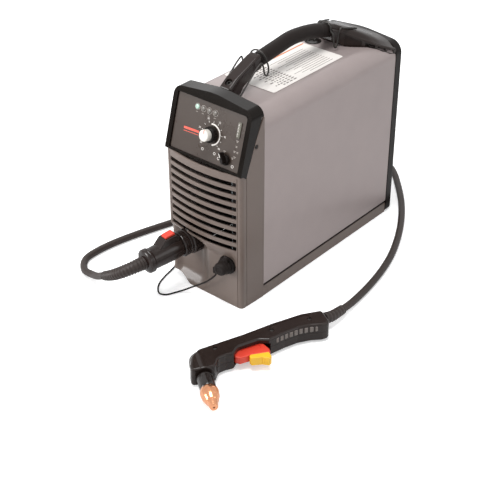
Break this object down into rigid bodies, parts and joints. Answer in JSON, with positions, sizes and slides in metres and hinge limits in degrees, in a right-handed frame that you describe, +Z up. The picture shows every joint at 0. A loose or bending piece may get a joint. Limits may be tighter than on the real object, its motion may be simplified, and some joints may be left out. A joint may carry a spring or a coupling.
{
  "type": "plasma cutter unit",
  "caption": "Portable inverter plasma cutter: louvred front, sloping control panel, arched top handle, and a hand torch on a long coiled lead.",
  "frame": {"origin": "on the floor, under the middle of the case's base", "axes": "+Z up, -Y out of the front panel, +X to the right as seen from the front looking towards +Y; the long side on +X is the one that shows in the picture"},
  "size_m": [0.5632, 0.8304, 0.4191],
  "materials": {
    "silver_paint": "satin silver-grey powder coat",
    "grey_moulding": "fine-textured warm grey moulding",
    "black_moulding": "fine-textured black moulding",
    "gloss_black": "polished black moulding",
    "panel_film": "dark grey printed film",
    "pale_knob": "pale moulding over a dark skirt",
    "lamp_lens": "translucent lens",
    "window": "clear window over a scale",
    "rubber": "matt black rubber",
    "lead_jacket": "smooth dark grey jacket",
    "label": "pale printed label",
    "steel": "drawn wire and turned steel",
    "brass": "turned brass",
    "copper": "bright turned copper",
    "red_moulding": "bright red moulding",
    "yellow_moulding": "bright yellow moulding",
    "head_resin": "heat-resistant resin",
    "retaining_cup": "moulded insulating cup",
    "bare_aluminium": "extruded aluminium",
    "circuit_board": "green solder mask",
    "capacitor_sleeve": "dark blue sleeve",
    "core_steel": "stacked laminations",
    "winding": "enamelled copper wire",
    "valve_metal": "plated valve body",
    "inner_black": "black filter bowl"
  },
  "bodies": {
    "case": {"base_tray": "grey_moulding", "rubber_foot_1": "rubber", "rubber_foot_2": "rubber", "rubber_foot_3": "rubber", "rubber_foot_4": "rubber", "cover_shell": "silver_paint", "top_label_plate": "label", "front_bezel": "grey_moulding", "panel_hood": "gloss_black", "control_panel": "panel_film", "indicator_lens_1": "lamp_lens", "indicator_lens_2": "lamp_lens", "indicator_lens_3": "lamp_lens", "indicator_lens_4": "lamp_lens", "pressure_window": "window", "rear_bezel": "black_moulding", "mains_gland": "black_moulding", "air_inlet_fitting": "brass", "handle_grip": "rubber", "handle_front_leg": "black_moulding", "handle_screw_front": "steel", "handle_rear_leg": "black_moulding", "strap_wire_front": "steel", "strap_wire_rear": "steel", "torch_receptacle": "black_moulding", "plug_locking_ring": "black_moulding", "plug_body": "black_moulding", "plug_boot": "rubber", "torch_boot": "rubber", "torch_lead_front": "lead_jacket", "torch_lead_rear": "lead_jacket", "torch_lead_coil": "lead_jacket", "work_socket": "black_moulding", "work_socket_cap": "rubber", "cap_lanyard": "lead_jacket", "centre_plate": "bare_aluminium", "heatsink": "bare_aluminium", "power_board": "circuit_board", "capacitor_1": "capacitor_sleeve", "capacitor_2": "capacitor_sleeve", "control_board": "circuit_board", "transformer_core": "core_steel", "transformer_winding": "winding", "solenoid_valve": "valve_metal", "fan_frame": "black_moulding", "regulator_body": "inner_black", "torch_shell_lower": "black_moulding", "torch_shell_upper": "black_moulding", "torch_head": "head_resin", "retaining_cap": "retaining_cup", "nozzle": "copper"},
    "current_knob": {"current_knob": "pale_knob"},
    "mode_selector": {"mode_selector": "black_moulding"},
    "power_rocker": {"power_rocker": "black_moulding"},
    "plug_button": {"plug_release_button": "red_moulding"},
    "regulator_stem": {"regulator_stem": "steel"},
    "regulator_knob": {"regulator_knob": "black_moulding"},
    "fan_rotor": {"fan_rotor": "black_moulding"},
    "trigger": {"torch_trigger": "red_moulding"},
    "safety": {"trigger_safety": "yellow_moulding"}
  },
  "joints": [
    {"name": "current_knob_turn", "type": "hinge", "parent": "case", "child": "current_knob", "pos_m": [0.008, -0.20801, 0.31013], "axis": [0, -0.9593, 0.2823], "range_deg": [-135, 135]},
    {"name": "mode_selector_turn", "type": "hinge", "parent": "case", "child": "mode_selector", "pos_m": [0.046, -0.21677, 0.28039], "axis": [0, -0.9593, 0.2823], "range_deg": [-45, 45]},
    {"name": "power_rocker_tilt", "type": "hinge", "parent": "case", "child": "power_rocker", "pos_m": [0.042, 0.219, 0.3], "axis": [1, 0, 0], "range_deg": [0, 12]},
    {"name": "plug_button_press", "type": "slide", "parent": "case", "child": "plug_button", "axis": [0.015, 0.077, -0.9969], "range_m": [0, 0.003], "stiffness_N_per_m": 800, "springref_m": -0.002},
    {"name": "regulator_pull", "type": "slide", "parent": "case", "child": "regulator_stem", "axis": [0, 0, 1], "range_m": [0, 0.004]},
    {"name": "regulator_turn", "type": "hinge", "parent": "regulator_stem", "child": "regulator_knob", "pos_m": [-0.033, 0.112, 0.35], "axis": [0, 0, 1], "range_deg": [-150, 150]},
    {"name": "fan_spin", "type": "hinge", "parent": "case", "child": "fan_rotor", "pos_m": [0, 0.206, 0.175], "axis": [0, 1, 0], "continuous": true},
    {"name": "trigger_squeeze", "type": "hinge", "parent": "case", "child": "trigger", "pos_m": [0.1591, -0.33816, 0.02], "axis": [0, 0, 1], "range_deg": [0, 8], "stiffness_Nm_per_rad": 0.6, "springref_deg": -8.59},
    {"name": "safety_lift", "type": "hinge", "parent": "trigger", "child": "safety", "pos_m": [0.20182, -0.33493, 0.02], "axis": [0, 0, -1], "range_deg": [0, 35], "stiffness_Nm_per_rad": 0.05, "springref_deg": -11.46}
  ]
}
